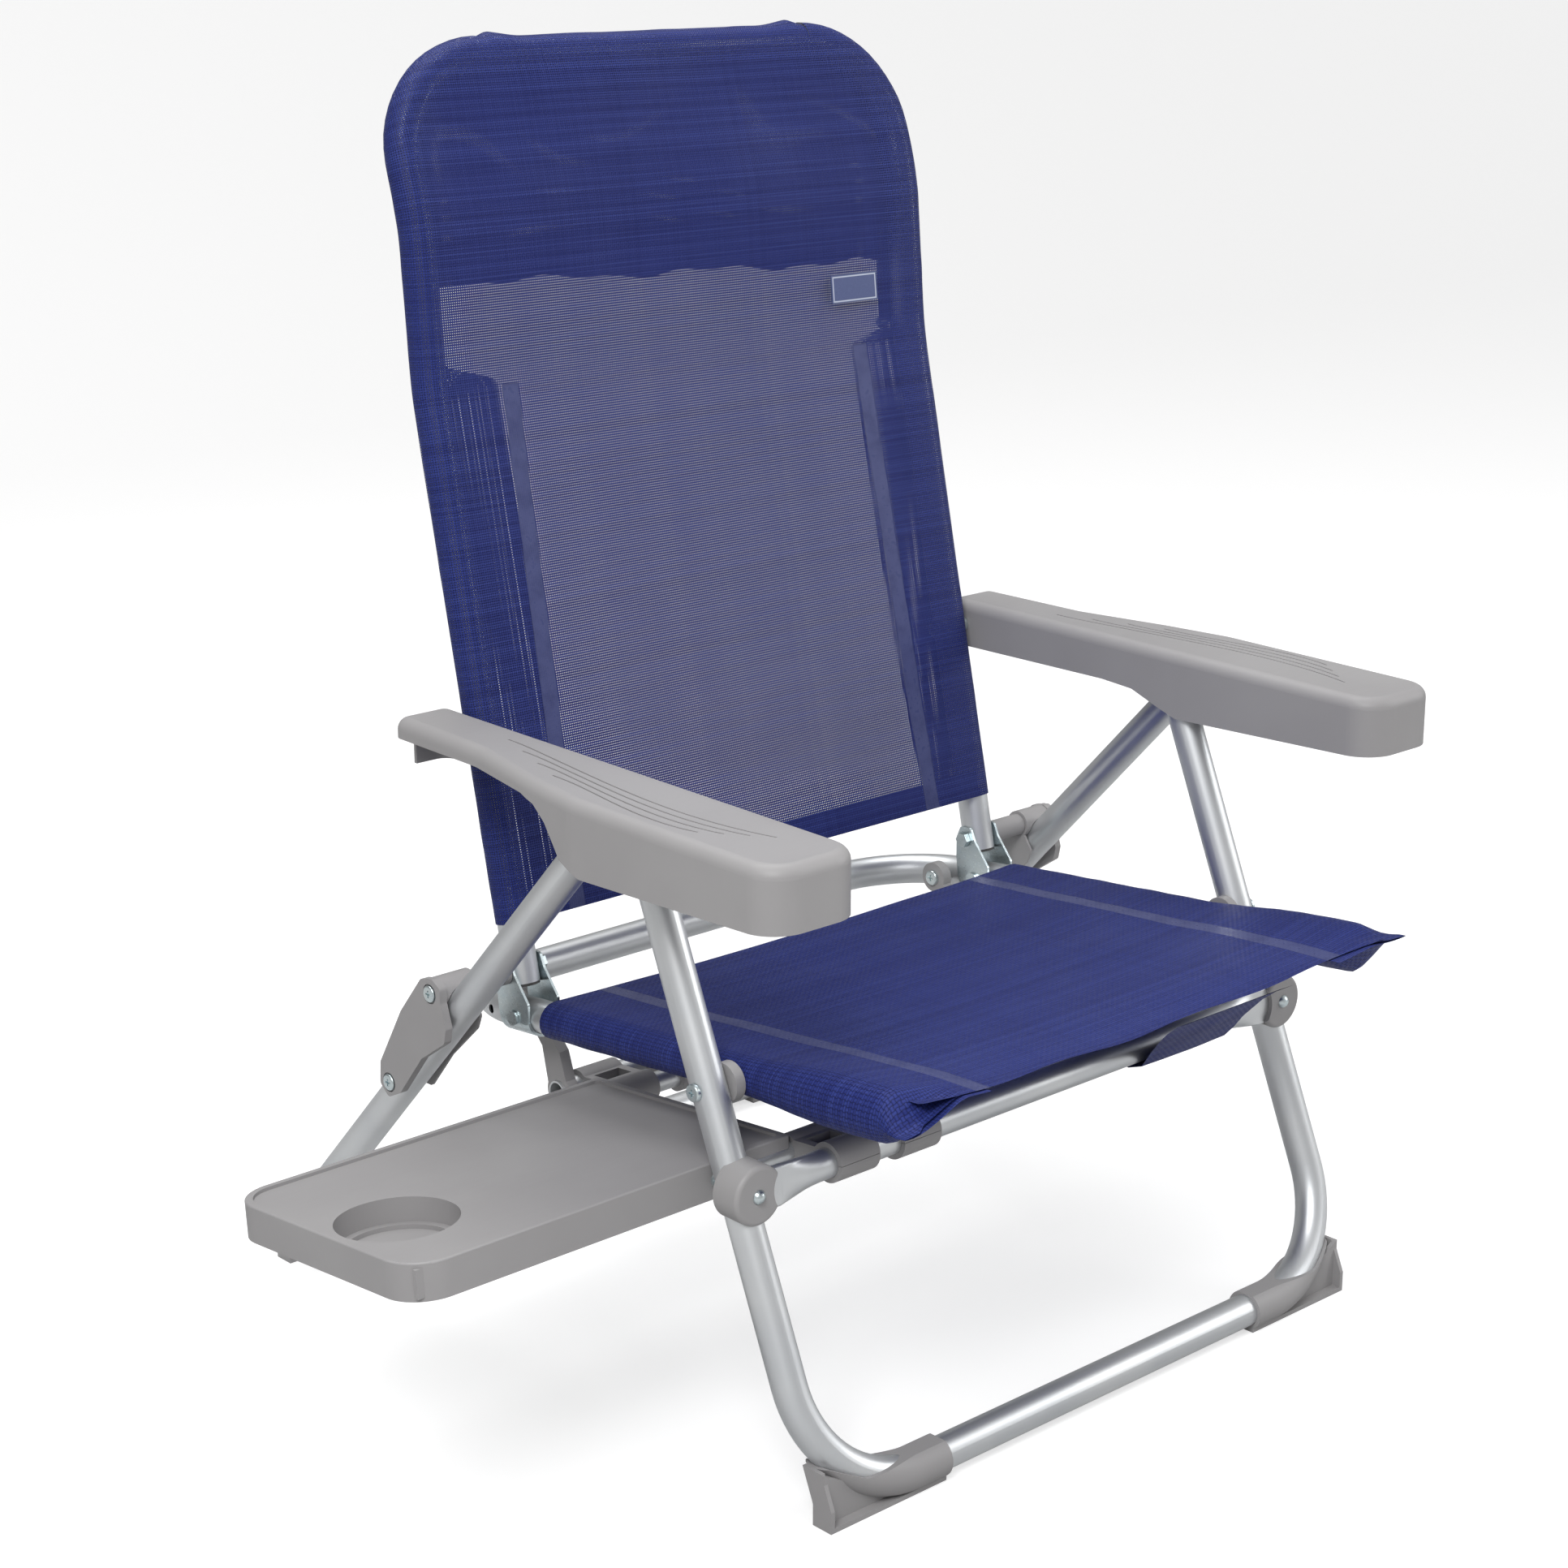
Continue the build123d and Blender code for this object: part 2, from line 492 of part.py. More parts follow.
# ---------------------------------------------------------------- armrests
def arm_plan(grow):
    """Armrest outline seen from above, wide at the front and narrow at the hinge."""
    i, o = ARM_IN_X - grow, ARM_OUT_X + grow
    f, b = ARM_FRONT_Y - grow, ARM_BACK_Y + grow
    edge = Polyline((i, b), (i, f), (o, f), (o, -170), (o - 8, -120), (o - 24, -50), (o - 28, b), close=True)
    face = make_face(edge)
    corners = face.vertices().filter_by(lambda v: v.Y < f + 1)
    face = fillet(corners, 22 + grow)
    soft = face.vertices().filter_by(lambda v: -175 < v.Y < -45)
    face = fillet(soft, 40)
    return fillet(face.vertices().filter_by(lambda v: v.Y > b - 1), 9)


def arm_side(drop):
    """Armrest outline seen from the side, its bottom lower by drop at the rear."""
    b, f = ARM_BACK_Y + 5, ARM_FRONT_Y - 5
    rear = ARM_HINGE[1] - 4 - drop
    line = Polyline((f, 387), (-178, 382), (-160, 388), (-138, rear - 2), (-110, rear), (b, rear),
                    (b, ARM_TOP_BACK), (f, ARM_TOP_FRONT), close=True)
    return make_face(line)


def armrest():
    """Hollow armrest shell, open underneath."""
    outer = extrude(Plane.XY.offset(370) * arm_plan(0), 80)
    body = outer & plate_x(200, 320, arm_side(12))
    low, rise = 370, ARM_TOP_BACK - 13.5
    scoop = Polyline((60, low), (60, rise), (-112, rise), (-128, rise - 3), (-141, rise - 11), (-151, rise - 22),
                     (-159, rise - 31), (-162, low), close=True)
    step = plate_x(ARM_OUT_X - 44, 320, make_face(scoop))
    body -= step & extrude(Plane.XY.offset(370) * arm_plan(1), 80)
    body = fillet(body.faces().sort_by(Axis.Z)[-1].edges(), ARM_ROUND)
    hollow = extrude(Plane.XY.offset(360) * arm_plan(-ARM_WALL), 100)
    lid = plate_x(200, 320, arm_side(60).moved(Location((0, -ARM_WALL - 0.6, 0))))
    void = hollow & lid
    shell = body - fillet(void.faces().sort_by(Axis.Z)[-1].edges(), ARM_ROUND - ARM_WALL - 1)
    boss = cyl_x(ARM_IN_X, ARM_IN_X + 13, 10, ARM_HINGE) & outer
    return shell + (boss & plate_x(200, 320, arm_side(12)))


def grooves(shell):
    """Four shallow wavy grooves along the armrest's top."""
    cut = None
    for i in range(4):
        x = ARM_IN_X + 22 + 9 * i
        rear = (x - 2, ARM_BACK_Y - 90 - 26 * i)
        path = Spline(rear, (x + 1, rear[1] - 35), (x + 9, rear[1] - 95), (x + 5, ARM_FRONT_Y + 45 + 12 * i),
                      tangents=((0, -1), (-0.3, -1)))
        start = Plane(origin=(*rear, 370), x_dir=(1, 0, 0), z_dir=(0, -1, 0))
        line = sweep(start * Pos(0, 50) * Rectangle(1.3, 100),
                     path=Pos(0, 0, 370) * path)
        cut = line if cut is None else cut + line
    return cut - shell.moved(Location((0, 0, -0.8)))


def make_armrests():
    shell = armrest()
    shell -= grooves(shell)
    shell -= cyl_x(220, ARM_IN_X + 30, SCREW_R + 0.02, ARM_HINGE)
    screw = cyl_x(RAIL_X - TUBE_R - 0.5, ARM_IN_X + 12, SCREW_R, ARM_HINGE)
    screw += cyl_x(RAIL_X - TUBE_R - 2.6, RAIL_X - TUBE_R - 0.4, HEAD_R, ARM_HINGE)
    screw += cyl_x(RAIL_X + TUBE_R + 2, ARM_IN_X - 0.2, 6, ARM_HINGE)
    for side, name in SIDES:
        save(on_side(shell, side), "armrest_shell_" + name)
        save(on_side(ratchet_rack(), side), "ratchet_rack_" + name)
        save(on_side(screw, side), "armrest_screw_" + name)


def ratchet_rack():
    """Toothed bar under the armrest's roof, above the pivot pin's path."""
    y0, y1, top = -292, -150, 422.4
    bar = plate_x(287.5, ARM_OUT_X - ARM_WALL - 3.6, Pos((y0 + y1) / 2, top - 3) * Rectangle(y1 - y0, 5))
    tooth = Polyline((-3, 0), (3, 0), (1.5, -4), (-1.5, -4), close=True)
    for i in range(6):
        spot = Pos(y1 - 22 - 26 * i, top - 5.5) * make_face(tooth)
        bar += plate_x(287.5, ARM_OUT_X - ARM_WALL - 3.6, spot)
    return bar


# ---------------------------------------------------------------- side table
def table_point(u, w):
    """Side view point at u behind the crossbar and w above it, in the table's own slope."""
    tilt = atan2(-SEAT_RISE, 1)
    return (CROSSBAR[0] + u * cos(tilt) - w * sin(tilt), CROSSBAR[1] + u * sin(tilt) + w * cos(tilt))


def table_frame():
    """Work plane on the crossbar's centre line: X across, Y to the rear, Z up from the tray."""
    return Plane(origin=(0, *CROSSBAR), x_dir=(1, 0, 0), z_dir=(0, SEAT_RISE, 1))


def bar_gap():
    """Distance from the crossbar to the rear bar, equal to that of the pivots above them."""
    h = hanger_pivot()
    return hypot(h[0] - SEAT_PIVOT[0], h[1] - SEAT_PIVOT[1])


def make_hangers():
    top = hanger_pivot()
    low = table_point(bar_gap(), 0)
    arm = make_face(Polyline((top[0] - 9, top[1] - 2), (top[0] + 9, top[1]), (low[0] + 17, low[1] + 28),
                             (low[0] + 10, low[1] - 2), (low[0] - 10, low[1] + 2), (low[0] - 1, low[1] + 28),
                             close=True))
    plate = plate_x(187, 195, arm) + cyl_x(187, 195, 11, top) + cyl_x(187, 195, 12, low)
    plate += cyl_x(195, RAIL_X - TUBE_R - 3, 6.5, top)
    plate -= cyl_x(170, 210, SCREW_R + RUN_GAP, top)
    plate -= cyl_x(170, 210, REAR_BAR_R + RUN_GAP, low)
    for side, name in SIDES:
        save(on_side(plate, side), "hanger_" + name)
    screw = pan_screw(186.8, RAIL_X + 6, top)
    save(both(screw), "hanger_screws")
    bar = cyl_x(-197, 197, REAR_BAR_R, low) - cyl_x(-198, 198, REAR_BAR_R - 1.2, low)
    save(bar, "table_rear_bar")


def tray():
    """Shallow tray: raised lip, recessed panel, hollow underside, ribs and a cup holder."""
    plane = table_frame()
    length = TRAY_IN_X - TRAY_OUT_X
    mid = Pos((TRAY_IN_X + TRAY_OUT_X) / 2, TRAY_FRONT + TRAY_WIDTH / 2)

    def plan(inset):
        face = Rectangle(length - 2 * inset, TRAY_WIDTH - 2 * inset)
        outer_end = face.vertices().filter_by(lambda v: v.X < 0)
        face = fillet(outer_end, TRAY_CORNER_R - inset)
        inner_end = face.vertices().filter_by(lambda v: v.X > length / 2 - inset - 1)
        return fillet(inner_end, 3)

    low = TRAY_TOP - TRAY_HEIGHT
    body = extrude(mid * plan(0), TRAY_HEIGHT).moved(Location((0, 0, low)))
    body = fillet(body.edges().group_by(Axis.Z)[-1], 1.2)
    body -= extrude(mid * plan(TRAY_LIP), 10).moved(Location((0, 0, TRAY_TOP - TRAY_RECESS)))
    roof = TRAY_TOP - TRAY_RECESS - TRAY_WALL
    body -= extrude(mid * plan(TRAY_WALL), roof - low + 1).moved(Location((0, 0, low - 1)))
    cup_depth = TRAY_HEIGHT - TRAY_RECESS - 1
    cup_spot = Pos(CUP_X, TRAY_FRONT + CUP_U, 0)
    cup_low = low + 0.6
    cup = cup_spot * Pos(0, 0, (cup_low + roof + TRAY_WALL) / 2) * Cylinder(CUP_R + TRAY_WALL, roof + TRAY_WALL - cup_low)
    body += cup
    body -= cup_spot * Pos(0, 0, cup_low + 5 + 20) * Cylinder(CUP_R, 40)
    body -= cup_spot * Pos(0, 0, cup_low + 2.2 + 20) * Cylinder(CUP_R - 5, 40)
    for u in (ROD_OFFSET, bar_gap() - ROD_OFFSET):
        rib = Pos((TRAY_IN_X + TRAY_OUT_X) / 2, u, (low + 3 + roof + 1) / 2) * Box(length - 12, TRAY_WALL, roof - low - 1)
        boss = Pos(TRAY_IN_X - 19, u, 0) * Rot(0, 90, 0) * Cylinder(ROD_R + 2.4, 36)
        body += boss & extrude(mid * plan(0), TRAY_HEIGHT).moved(Location((0, 0, low)))
        body += rib - cup_spot * Cylinder(CUP_R, 80)
        body -= Pos(TRAY_IN_X - 16, u, 0) * Rot(0, 90, 0) * Cylinder(ROD_R + 0.02, 38)
    return plane * body


def clip(x0, x1, bar_u, rod_u, bar_r):
    """Double clip: one ring on a chair bar and one on a tray rod, joined by a short arm."""
    plane = table_frame()
    mid, length = (x0 + x1) / 2, x1 - x0
    turn = Rot(0, 90, 0)
    body = Pos(mid, bar_u, 0) * turn * Cylinder(bar_r + CLIP_WALL, length)
    body += Pos(mid, rod_u, 0) * turn * Cylinder(ROD_R + CLIP_WALL, length)
    body += Pos(mid, (bar_u + rod_u) / 2, 2) * Box(length, abs(bar_u - rod_u), 12)
    body -= Pos(mid, (bar_u + rod_u) / 2, 7) * Box(length - 12, abs(bar_u - rod_u) - 22, 10)
    body -= Pos(mid, bar_u, 0) * turn * Cylinder(bar_r + RUN_GAP, length + 2)
    body -= Pos(mid, rod_u, 0) * turn * Cylinder(ROD_R + 0.02, length + 2)
    return plane, body


def make_table():
    save(tray(), "table_tray")
    rear_u = bar_gap()
    for name, u in (("front", ROD_OFFSET), ("rear", rear_u - ROD_OFFSET)):
        rod = Pos((CLIP_INNER_X[1] + TRAY_IN_X - 34) / 2, u, 0) * Rot(0, 90, 0) * Cylinder(
            ROD_R, CLIP_INNER_X[1] - TRAY_IN_X + 34)
        save(table_frame() * rod, "tray_rod_" + name)
    for place, (x0, x1) in (("outer", CLIP_OUTER_X), ("inner", CLIP_INNER_X)):
        plane, body = clip(x0, x1, 0, ROD_OFFSET, CROSSBAR_R)
        cap_zone = Pos((x0 + x1) / 2, -4, -15 - 0.3) * Box(60, 34, 30)
        save(plane * (body & cap_zone), "front_clip_cap_" + place)
        save(plane * (body - Pos((x0 + x1) / 2, -4, -15) * Box(60, 34, 30)), "front_clip_" + place)
        plane, body = clip(x0, x1, rear_u, rear_u - ROD_OFFSET, REAR_BAR_R)
        save(plane * body, "rear_clip_" + place)


make_front_frame()
save(crossbar_sling(), "crossbar_sling")
make_rear_frame()
make_seat()
make_back()
make_armrests()
make_hangers()
make_table()
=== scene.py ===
"""Looks of the beach chair: cloths, materials, floor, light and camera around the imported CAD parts."""
import json
import math

import bpy
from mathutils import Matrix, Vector, noise


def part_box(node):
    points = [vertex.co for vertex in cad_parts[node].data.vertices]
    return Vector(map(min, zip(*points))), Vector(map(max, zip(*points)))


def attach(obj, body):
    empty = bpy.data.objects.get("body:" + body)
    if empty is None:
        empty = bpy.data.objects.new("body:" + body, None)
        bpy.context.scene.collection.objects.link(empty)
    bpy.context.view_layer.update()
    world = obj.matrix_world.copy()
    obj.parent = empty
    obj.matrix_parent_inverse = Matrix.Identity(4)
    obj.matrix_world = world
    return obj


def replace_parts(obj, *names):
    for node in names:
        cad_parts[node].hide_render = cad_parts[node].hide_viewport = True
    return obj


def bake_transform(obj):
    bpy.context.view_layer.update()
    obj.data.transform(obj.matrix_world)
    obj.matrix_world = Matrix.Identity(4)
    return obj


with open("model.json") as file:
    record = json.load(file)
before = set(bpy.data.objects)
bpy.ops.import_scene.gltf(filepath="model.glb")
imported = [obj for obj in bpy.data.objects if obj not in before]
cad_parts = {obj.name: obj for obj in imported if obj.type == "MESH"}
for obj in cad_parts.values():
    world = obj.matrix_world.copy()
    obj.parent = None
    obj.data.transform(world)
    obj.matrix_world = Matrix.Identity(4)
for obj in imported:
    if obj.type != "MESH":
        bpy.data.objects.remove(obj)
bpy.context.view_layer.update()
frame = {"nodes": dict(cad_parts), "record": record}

# ---- sizes in mm, from the chair's middle plane, as the CAD has them ----
MID_X, MID_Y = 82.5, 79.0  # where that plane and the sitting point lie in the shared frame
RAIL_X = 213.0             # centre line of the seat rails and the back tubes
CLOTH_R = 12.0             # cloth's distance from a tube's centre line
BACK_LINE = ((-10, 253), (71, 628), (80, 735), (110, 831))
BACK_BEND, BACK_CORNER = 180.0, 72.0
BACK_BOTTOM, POCKET_LEFT, POCKET_RIGHT = 292.0, 694.0, 677.0
SEAT_REAR, SEAT_FRONT = -42.0, -378.0
RAIL_END = -353.5          # the cloth is sewn flat ahead of the rails' ends
SEAT_PIVOT_Y, SEAT_PIVOT_Z, SEAT_RISE = -228, 252, 0.0896
SEAT_R = CLOTH_R + 0.5
HEM = 22                   # width of the seat's hems
BACK_HEM = 19
FLAP_LEFT, FLAP_RIGHT = 46.0, 66.0   # cloth turned in behind the back's side tubes
FLAP_TOPS = {-1: 631, 1: 624}
SEAT_FLAP = 52.0

# ---- how finely the cloths are divided ----
STATIONS = [2 * i / 96 - 1 for i in range(97)]
ROUND_STEPS, FLAP_STEPS = 9, 8


def to_frame(x, y, z):
    """A point given from the chair's middle plane, in mm, as a point of the shared frame, in metres."""
    return Vector(((x + MID_X) / 1000, (y + MID_Y) / 1000, z / 1000))


def smooth(a, b, x):
    t = min(1.0, max(0.0, (x - a) / (b - a)))
    return t * t * (3 - 2 * t)


def lerp(a, b, t):
    return a + (b - a) * t


def wave(x, y, z, size):
    return noise.noise(Vector((x / size, y / size, z / size)))


# ------------------------------------------------------------------ side profile of the back
def rounded(points, radius, step=4.0):
    """A polyline with rounded corners as closely spaced points."""
    pts = [Vector(p) for p in points]
    line = [pts[0]]
    for before, corner, after in zip(pts, pts[1:], pts[2:]):
        a, b = (before - corner).normalized(), (after - corner).normalized()
        half = math.acos(max(-1.0, min(1.0, a.dot(b)))) / 2
        reach = radius / math.tan(half)
        centre = corner + (a + b).normalized() * radius / math.sin(half)
        start, end = corner + a * reach - centre, corner + b * reach - centre
        for i in range(13):
            mixed = start.lerp(end, i / 12)
            line.append(centre + mixed.normalized() * radius)
    line.append(pts[-1])
    dense = []
    for p, q in zip(line, line[1:]):
        n = max(1, int((q - p).length / step))
        dense += [p.lerp(q, i / n) for i in range(n)]
    return dense + [line[-1]]


class Profile:
    """The back tube's side line, by height along it, with the direction out of its front."""

    def __init__(self, points, radius):
        self.pts = rounded(points, radius)
        self.at_length = [0.0]
        for p, q in zip(self.pts, self.pts[1:]):
            self.at_length.append(self.at_length[-1] + (q - p).length)
        self.length = self.at_length[-1]

    def length_at_height(self, z):
        for i, p in enumerate(self.pts):
            if p.y >= z:
                q = self.pts[max(0, i - 1)]
                t = 0.0 if p.y == q.y else (z - q.y) / (p.y - q.y)
                return lerp(self.at_length[max(0, i - 1)], self.at_length[i], t)
        return self.length

    def place(self, x, v, h):
        """Point at x across, v along the side line and h out of the front."""
        i = 1
        while i < len(self.pts) - 1 and self.at_length[i] < v:
            i += 1
        p, q = self.pts[i - 1], self.pts[i]
        t = (v - self.at_length[i - 1]) / (self.at_length[i] - self.at_length[i - 1])
        along = (q - p).normalized()
        spot = p.lerp(q, t)
        return to_frame(x, spot.x - along.y * h, spot.y + along.x * h)


back = Profile(BACK_LINE, BACK_BEND)
V_BOTTOM = back.length_at_height(BACK_BOTTOM)
V_TOP = back.length
V_CORNER = V_TOP - BACK_CORNER


# ------------------------------------------------------------------ meshes
def grid_mesh(name, rows):
    """A mesh from rows of (point, (u, v)) pairs, smooth, with its own UVs in metres."""
    verts, faces, uvs = [], [], []
    width = len(rows[0])
    for line in rows:
        for point, uv in line:
            verts.append(point)
            uvs.append(uv)
    for j in range(len(rows) - 1):
        for i in range(width - 1):
            a = j * width + i
            faces.append((a, a + 1, a + 1 + width, a + width))
    mesh = bpy.data.meshes.new(name)
    mesh.from_pydata(verts, [], faces)
    layer = mesh.uv_layers.new(name="cloth")
    for loop in mesh.loops:
        layer.data[loop.index].uv = uvs[loop.vertex_index]
    obj = bpy.data.objects.new(name, mesh)
    bpy.context.scene.collection.objects.link(obj)
    for p in mesh.polygons:
        p.use_smooth = True
    return obj


def join(name, parts):
    """Several grids as one mesh, with the points they share made one."""
    bpy.ops.object.select_all(action="DESELECT")
    for p in parts:
        p.select_set(True)
    bpy.context.view_layer.objects.active = parts[0]
    bpy.ops.object.join()
    parts[0].name = name
    parts[0].data.name = name
    bpy.ops.object.mode_set(mode="EDIT")
    bpy.ops.mesh.select_all(action="SELECT")
    bpy.ops.mesh.remove_doubles(threshold=0.00002)
    bpy.ops.object.mode_set(mode="OBJECT")
    return parts[0]


# ------------------------------------------------------------------ back cloth
def corner_row(v):
    """Half width of the frame at v along the back, and the outward direction there."""
    if v <= V_CORNER:
        return RAIL_X, Vector((1, 0))
    a = math.asin(min(1.0, (v - V_CORNER) / BACK_CORNER))
    return RAIL_X - BACK_CORNER + BACK_CORNER * math.cos(a), Vector((math.cos(a), math.sin(a)))


def front_dip(x, v):
    """How far the front of the back cloth gives, and its slight pull folds."""
    across = 1 - (x / RAIL_X) ** 2
    low = smooth(V_BOTTOM, V_BOTTOM + 90, v) * (1 - smooth(V_CORNER - 30, V_TOP, v))
    give = 4.0 * across * low
    head = smooth(V_TOP - 190, V_TOP - 60, v) * smooth(V_TOP + 5, V_TOP - 25, v)
    fold = math.sin(x * 0.019 + (v - V_TOP) * 0.030 + 1.0) + 0.5 * math.sin(x * 0.034 - (v - V_TOP) * 0.021)
    edge = smooth(0.0, 0.25, across)
    return give + 1.5 * head * fold * edge + 0.5 * wave(x, v, 0, 130) * edge


def flap_top(side):
    return back.length_at_height(FLAP_TOPS[side])


def flap_width(side, v):
    """Width of the cloth turned in behind a side tube."""
    tuck = 16.0
    bottom = smooth(V_BOTTOM - 30, V_BOTTOM + 220, v)
    full = FLAP_LEFT + 8.0 * (1 - bottom) if side < 0 else FLAP_RIGHT - 7.0 * (1 - bottom)
    top = flap_top(side)
    return lerp(full, tuck, smooth(top - 3, top + 14, v))


def sleeve(side, v):
    """Points from the front edge round a side tube and in along its flap, at one height."""
    half, out = corner_row(v)
    swell = 1.2 * smooth(V_CORNER, V_CORNER + 30, v) + 0.5 * wave(side * 40, v, 7, 22)
    r = CLOTH_R + max(0.0, swell)
    points = []
    for i in range(1, ROUND_STEPS + 1):
        a = math.pi * i / ROUND_STEPS
        ease = math.sin(a)
        x = half + out.x * r * ease
        up = v + out.y * r * ease
        h = lerp(CLOTH_R, r, ease) * math.cos(a)
        beyond = up - V_TOP
        spot = back.place(side * x, min(up, V_TOP), h)
        if beyond > 0:
            spot = spot + top_direction() * beyond / 1000
        reach = (half + out.x * r * a, v + out.y * r * a)
        points.append((spot, (side * reach[0] / 1000, reach[1] / 1000)))
    width = flap_width(side, v) * (1 - smooth(V_CORNER - 60, V_CORNER, v)) + 0.5
    for i in range(1, FLAP_STEPS + 1):
        t = i / FLAP_STEPS
        x = half - out.x * width * t
        up = v - out.y * width * t
        rise = smooth(0.15, 0.95, t) * smooth(20, 40, width)
        h = lerp(-CLOTH_R, CLOTH_R - 1.0 - front_dip(x, up), rise)
        reach = half + CLOTH_R * math.pi + width * t
        points.append((back.place(side * x, up, h), (side * reach / 1000, v / 1000)))
    return points


def top_direction():
    p, q = back.pts[-2], back.pts[-1]
    d = (q - p).normalized()
    return Vector((0, d.x, d.y))


def back_rows():
    low = [V_BOTTOM + (V_CORNER - V_BOTTOM) * j / 130 for j in range(131)]
    high = [V_CORNER + BACK_CORNER * math.sin(math.pi / 2 * j / 14) for j in range(1, 15)]
    rows = []
    for v in low + high:
        half, _ = corner_row(v)
        line = sleeve(-1, v)[::-1]
        for s in STATIONS:
            x = half * s
            line.append((back.place(x, v, CLOTH_R - front_dip(x, v)), (x / 1000, v / 1000)))
        line += sleeve(1, v)
        rows.append(line)
    return rows


def top_sag(x):
    """The cloth stands off the bar at its corners and lies flat on it between them."""
    a = abs(x)
    return 3.6 * smooth(100, 138, a) * smooth(165, 150, a) + 0.8 * wave(x, 3, 9, 40)


def top_rows():
    """Cloth over the top bar."""
    rows = []
    half = RAIL_X - BACK_CORNER
    for j in range(0, 10):
        a = math.pi * j / 9
        line = []
        for s in STATIONS:
            x = half * s
            r = CLOTH_R + max(0.0, top_sag(x)) * math.sin(a) * smooth(half, half - 12, abs(x))
            spot = back.place(x, V_TOP, CLOTH_R * math.cos(a)) + top_direction() * r * math.sin(a) / 1000
            line.append((spot, (x / 1000, (V_TOP + CLOTH_R * a) / 1000)))
        rows.append(line)
    return rows


def pocket_edge(x):
    t = (x + RAIL_X) / (2 * RAIL_X)
    z = lerp(POCKET_LEFT, POCKET_RIGHT, t) + 1.6 * math.sin(x * 0.045) + 1.2 * math.sin(x * 0.11 + 1)
    return back.length_at_height(z)


def pocket_rows():
    """The cloth that hangs down behind, from the top bar to the headrest's lower edge."""
    rows = []
    steps = 40
    for j in range(steps + 1):
        line = []
        for s in STATIONS:
            v = lerp(V_TOP, pocket_edge(s * RAIL_X), j / steps)
            half, _ = corner_row(min(v, V_TOP))
            x = s * half
            h = -CLOTH_R + 5.0 * smooth(0.5, 1.0, j / steps) * (1 - s * s) + 0.6 * wave(x, v, 3, 60)
            uv = (x / 1000 + 0.0007, (2 * V_TOP - v) / 1000 + 0.0009)
            line.append((back.place(x, v, h if j else -CLOTH_R), uv))
        rows.append(line)
    return rows


def hem_rows():
    """The bottom hem, folded up behind the front."""
    rows = []
    for j in range(7):
        t = j / 6
        v = V_BOTTOM + BACK_HEM * t
        behind = 1.6 * smooth(0, 0.3, t)
        line = []
        for s in STATIONS:
            x = (RAIL_X - 2) * s
            h = CLOTH_R - front_dip(x, v) - behind
            line.append((back.place(x, v, h), (x / 1000 + 0.0008, (2 * V_BOTTOM - v) / 1000 + 0.0007)))
        rows.append(line)
    return rows


def make_back():
    main = grid_mesh("back_cloth_main", back_rows())
    over = grid_mesh("back_cloth_over", top_rows())
    cloth = join("back_cloth", [main, over])
    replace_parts(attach(cloth, "back"), "back_sling")
    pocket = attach(grid_mesh("back_cloth_pocket", pocket_rows()), "back")
    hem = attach(grid_mesh("back_cloth_hem", hem_rows()), "back")
    return cloth, pocket, hem


# ------------------------------------------------------------------ seat cloth
def seat_height(y):
    return SEAT_PIVOT_Z - SEAT_RISE * (y - SEAT_PIVOT_Y)


def seat_give(x, y):
    """Sag of the seat's top, its front edge most."""
    across = 1 - (x / RAIL_X) ** 2
    middle = smooth(SEAT_REAR, SEAT_REAR - 70, y)
    front = smooth(SEAT_FRONT + 50, SEAT_FRONT, y)
    ripple = 0.7 * wave(x, y, 5, 60) * smooth(0, 0.2, across)
    return across * (2.5 + 3.0 * middle + 5.0 * front) + ripple


def seat_pinch(y):
    return smooth(RAIL_END + 2, SEAT_FRONT + 2, y)


def seat_swell(y):
    """How far the sleeves stand off the rails towards the front."""
    return 4.5 * smooth(-225, -310, y) * smooth(SEAT_FRONT - 4, SEAT_FRONT + 34, y)


def seat_seam(side, x, layer):
    """Height of the sewn front end of a sleeve over its rail: down outside on one side, up on the other."""
    across = smooth(RAIL_X - 46, RAIL_X + 14, x)
    outer = -4.0 if side < 0 else 9.0
    return lerp(SEAT_R, outer, across) + 0.7 * layer


def seat_round(side, y):
    """Points from the seat's top edge round a rail and in along its flap, at one depth."""
    pinch = seat_pinch(y)
    points = []
    for i in range(1, ROUND_STEPS + 1):
        a = math.pi * i / ROUND_STEPS
        r = SEAT_R + seat_swell(y) + 0.4 * wave(side * 30, y, 2, 18)
        x = RAIL_X + r * math.sin(a) * lerp(1.0, 1.45, pinch)
        z = lerp(r * math.cos(a), seat_seam(side, x, math.cos(a)), pinch)
        arc = CLOTH_R * a
        points.append((to_frame(side * x, y, seat_height(y) + z), (side * (RAIL_X + arc) / 1000, -y / 1000)))
    for i in range(1, FLAP_STEPS + 1):
        t = i / FLAP_STEPS
        x = RAIL_X - SEAT_FLAP * t
        top = SEAT_R - seat_give(x, y) - 1.0 + seat_swell(y) * smooth(158, RAIL_X, x)
        z = lerp(-SEAT_R, top, smooth(0.15, 0.95, t))
        z = lerp(z, min(top, seat_seam(side, x, -1)), pinch)
        reach = RAIL_X + CLOTH_R * math.pi + SEAT_FLAP * t
        points.append((to_frame(side * x, y, seat_height(y) + z), (side * reach / 1000, -y / 1000)))
    return points


def seat_y(x, t):
    """Depth on the seat for a row: the rear edge bows and the front edge dips a little."""
    across = 1 - (x / RAIL_X) ** 2
    rear = SEAT_REAR - 3 * across
    front = SEAT_FRONT + 9 * across + 2.0 * math.sin(x * 0.05)
    return lerp(rear, front, t)


